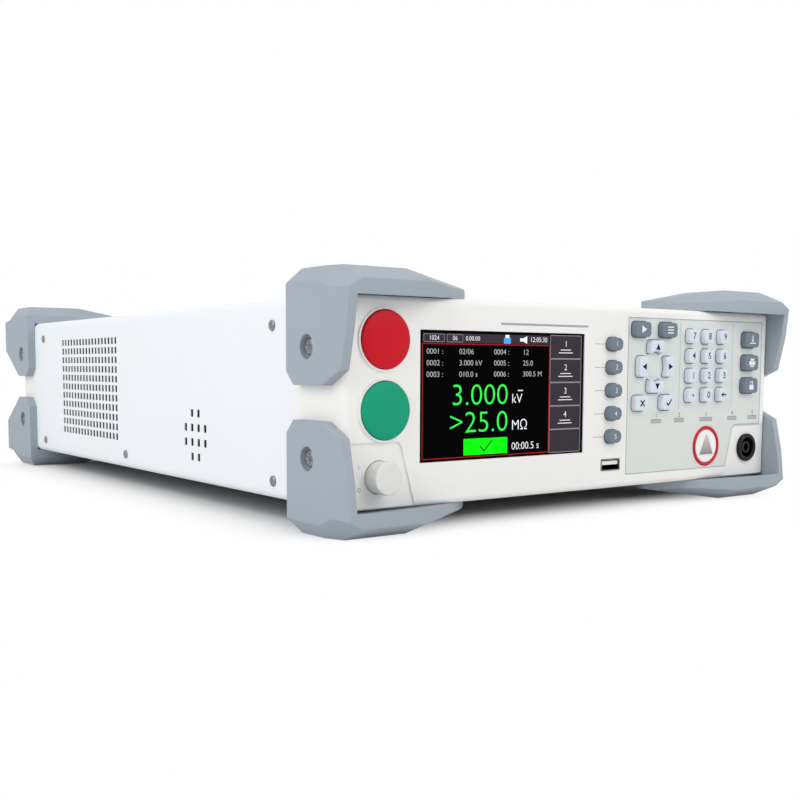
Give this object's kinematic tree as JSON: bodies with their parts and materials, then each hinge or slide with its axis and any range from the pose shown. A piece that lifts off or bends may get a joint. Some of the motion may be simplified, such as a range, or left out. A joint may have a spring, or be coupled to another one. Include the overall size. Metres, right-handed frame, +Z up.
{
  "type": "hipot tester",
  "caption": "Bench high-voltage withstand tester with colour display, keypad, start and stop buttons, output jack and corner guards on a vented sheet-metal case.",
  "frame": {"origin": "on the floor under the middle of the outer box", "axes": "+X to the right seen from the front, +Y to the rear, +Z up"},
  "size_m": [0.286, 0.4506, 0.11],
  "materials": {
    "bezel_white": "fine grain",
    "overlay_grey": "satin film",
    "window_black": "polished",
    "module_grey": "satin",
    "board_green": "satin",
    "lamp_red": "polished",
    "lamp_clear": "frosted",
    "plated_steel": "bright",
    "socket_black": "satin",
    "cover_paint": "fine texture",
    "tray_steel": "plain zinc",
    "panel_alu": "satin",
    "terminal_brass": "bright",
    "core_steel": "varnished",
    "guard_rubber": "matt",
    "stop_red": "satin",
    "start_green": "satin",
    "button_grey": "satin",
    "key_dark": "matt",
    "key_light": "matt"
  },
  "bodies": {
    "case": {"front_bezel": "bezel_white", "keypad_overlay": "overlay_grey", "display_window": "window_black", "display_module": "module_grey", "front_board": "board_green", "warning_lamp": "lamp_red", "status_lamps": "lamp_clear", "usb_socket": "plated_steel", "output_jack": "socket_black", "top_cover": "cover_paint", "base_tray": "tray_steel", "rear_frame": "bezel_white", "rear_panel": "panel_alu", "guard_screws": "plated_steel", "case_screws": "plated_steel", "fan_frame": "socket_black", "mains_inlet": "socket_black", "earth_terminal": "terminal_brass", "main_board": "board_green", "transformer": "core_steel", "guard_front_left_top": "guard_rubber", "guard_front_left_bottom": "guard_rubber", "guard_front_right_top": "guard_rubber", "guard_front_right_bottom": "guard_rubber", "guard_rear_left_top": "guard_rubber", "guard_rear_left_bottom": "guard_rubber", "guard_rear_right_top": "guard_rubber", "guard_rear_right_bottom": "guard_rubber"},
    "stop_button": {"stop_button": "stop_red"},
    "start_button": {"start_button": "start_green"},
    "power_button": {"power_button": "button_grey"},
    "fan_rotor": {"fan_rotor": "socket_black"},
    "soft_key_1": {"soft_key_1": "key_dark"},
    "soft_key_2": {"soft_key_2": "key_dark"},
    "soft_key_3": {"soft_key_3": "key_dark"},
    "soft_key_4": {"soft_key_4": "key_dark"},
    "soft_key_5": {"soft_key_5": "key_dark"},
    "test_key": {"test_key": "key_dark"},
    "setup_key": {"setup_key": "key_dark"},
    "cancel_key": {"cancel_key": "key_light"},
    "accept_key": {"accept_key": "key_light"},
    "up_key": {"up_key": "key_light"},
    "left_key": {"left_key": "key_light"},
    "down_key": {"down_key": "key_light"},
    "right_key": {"right_key": "key_light"},
    "digit_7": {"digit_7": "key_light"},
    "digit_8": {"digit_8": "key_light"},
    "digit_9": {"digit_9": "key_light"},
    "digit_4": {"digit_4": "key_light"},
    "digit_5": {"digit_5": "key_light"},
    "digit_6": {"digit_6": "key_light"},
    "digit_1": {"digit_1": "key_light"},
    "digit_2": {"digit_2": "key_light"},
    "digit_3": {"digit_3": "key_light"},
    "point_key": {"point_key": "key_light"},
    "digit_0": {"digit_0": "key_light"},
    "erase_key": {"erase_key": "key_light"},
    "save_key": {"save_key": "key_dark"},
    "print_key": {"print_key": "key_dark"},
    "lock_key": {"lock_key": "key_dark"}
  },
  "joints": [
    {"name": "soft_key_1_press", "type": "slide", "parent": "case", "child": "soft_key_1", "axis": [0, 1, 0], "range_m": [0, 0.0012], "stiffness_N_per_m": 300},
    {"name": "soft_key_2_press", "type": "slide", "parent": "case", "child": "soft_key_2", "axis": [0, 1, 0], "range_m": [0, 0.0012], "stiffness_N_per_m": 300},
    {"name": "soft_key_3_press", "type": "slide", "parent": "case", "child": "soft_key_3", "axis": [0, 1, 0], "range_m": [0, 0.0012], "stiffness_N_per_m": 300},
    {"name": "soft_key_4_press", "type": "slide", "parent": "case", "child": "soft_key_4", "axis": [0, 1, 0], "range_m": [0, 0.0012], "stiffness_N_per_m": 300},
    {"name": "soft_key_5_press", "type": "slide", "parent": "case", "child": "soft_key_5", "axis": [0, 1, 0], "range_m": [0, 0.0012], "stiffness_N_per_m": 300},
    {"name": "test_key_press", "type": "slide", "parent": "case", "child": "test_key", "axis": [0, 1, 0], "range_m": [0, 0.0012], "stiffness_N_per_m": 300},
    {"name": "setup_key_press", "type": "slide", "parent": "case", "child": "setup_key", "axis": [0, 1, 0], "range_m": [0, 0.0012], "stiffness_N_per_m": 300},
    {"name": "cancel_key_press", "type": "slide", "parent": "case", "child": "cancel_key", "axis": [0, 1, 0], "range_m": [0, 0.0012], "stiffness_N_per_m": 300},
    {"name": "accept_key_press", "type": "slide", "parent": "case", "child": "accept_key", "axis": [0, 1, 0], "range_m": [0, 0.0012], "stiffness_N_per_m": 300},
    {"name": "up_key_press", "type": "slide", "parent": "case", "child": "up_key", "axis": [0, 1, 0], "range_m": [0, 0.0012], "stiffness_N_per_m": 300},
    {"name": "left_key_press", "type": "slide", "parent": "case", "child": "left_key", "axis": [0, 1, 0], "range_m": [0, 0.0012], "stiffness_N_per_m": 300},
    {"name": "down_key_press", "type": "slide", "parent": "case", "child": "down_key", "axis": [0, 1, 0], "range_m": [0, 0.0012], "stiffness_N_per_m": 300},
    {"name": "right_key_press", "type": "slide", "parent": "case", "child": "right_key", "axis": [0, 1, 0], "range_m": [0, 0.0012], "stiffness_N_per_m": 300},
    {"name": "digit_7_press", "type": "slide", "parent": "case", "child": "digit_7", "axis": [0, 1, 0], "range_m": [0, 0.0012], "stiffness_N_per_m": 300},
    {"name": "digit_8_press", "type": "slide", "parent": "case", "child": "digit_8", "axis": [0, 1, 0], "range_m": [0, 0.0012], "stiffness_N_per_m": 300},
    {"name": "digit_9_press", "type": "slide", "parent": "case", "child": "digit_9", "axis": [0, 1, 0], "range_m": [0, 0.0012], "stiffness_N_per_m": 300},
    {"name": "digit_4_press", "type": "slide", "parent": "case", "child": "digit_4", "axis": [0, 1, 0], "range_m": [0, 0.0012], "stiffness_N_per_m": 300},
    {"name": "digit_5_press", "type": "slide", "parent": "case", "child": "digit_5", "axis": [0, 1, 0], "range_m": [0, 0.0012], "stiffness_N_per_m": 300},
    {"name": "digit_6_press", "type": "slide", "parent": "case", "child": "digit_6", "axis": [0, 1, 0], "range_m": [0, 0.0012], "stiffness_N_per_m": 300},
    {"name": "digit_1_press", "type": "slide", "parent": "case", "child": "digit_1", "axis": [0, 1, 0], "range_m": [0, 0.0012], "stiffness_N_per_m": 300},
    {"name": "digit_2_press", "type": "slide", "parent": "case", "child": "digit_2", "axis": [0, 1, 0], "range_m": [0, 0.0012], "stiffness_N_per_m": 300},
    {"name": "digit_3_press", "type": "slide", "parent": "case", "child": "digit_3", "axis": [0, 1, 0], "range_m": [0, 0.0012], "stiffness_N_per_m": 300},
    {"name": "point_key_press", "type": "slide", "parent": "case", "child": "point_key", "axis": [0, 1, 0], "range_m": [0, 0.0012], "stiffness_N_per_m": 300},
    {"name": "digit_0_press", "type": "slide", "parent": "case", "child": "digit_0", "axis": [0, 1, 0], "range_m": [0, 0.0012], "stiffness_N_per_m": 300},
    {"name": "erase_key_press", "type": "slide", "parent": "case", "child": "erase_key", "axis": [0, 1, 0], "range_m": [0, 0.0012], "stiffness_N_per_m": 300},
    {"name": "save_key_press", "type": "slide", "parent": "case", "child": "save_key", "axis": [0, 1, 0], "range_m": [0, 0.0012], "stiffness_N_per_m": 300},
    {"name": "print_key_press", "type": "slide", "parent": "case", "child": "print_key", "axis": [0, 1, 0], "range_m": [0, 0.0012], "stiffness_N_per_m": 300},
    {"name": "lock_key_press", "type": "slide", "parent": "case", "child": "lock_key", "axis": [0, 1, 0], "range_m": [0, 0.0012], "stiffness_N_per_m": 300},
    {"name": "stop_button_press", "type": "slide", "parent": "case", "child": "stop_button", "axis": [0, 1, 0], "range_m": [0, 0.002], "stiffness_N_per_m": 400},
    {"name": "start_button_press", "type": "slide", "parent": "case", "child": "start_button", "axis": [0, 1, 0], "range_m": [0, 0.002], "stiffness_N_per_m": 400},
    {"name": "power_button_press", "type": "slide", "parent": "case", "child": "power_button", "axis": [0, 1, 0], "range_m": [0, 0.003], "stiffness_N_per_m": 400},
    {"name": "fan_spin", "type": "hinge", "parent": "case", "child": "fan_rotor", "pos_m": [-0.03, 0.17775, 0.055], "axis": [0, 1, 0], "continuous": true}
  ]
}
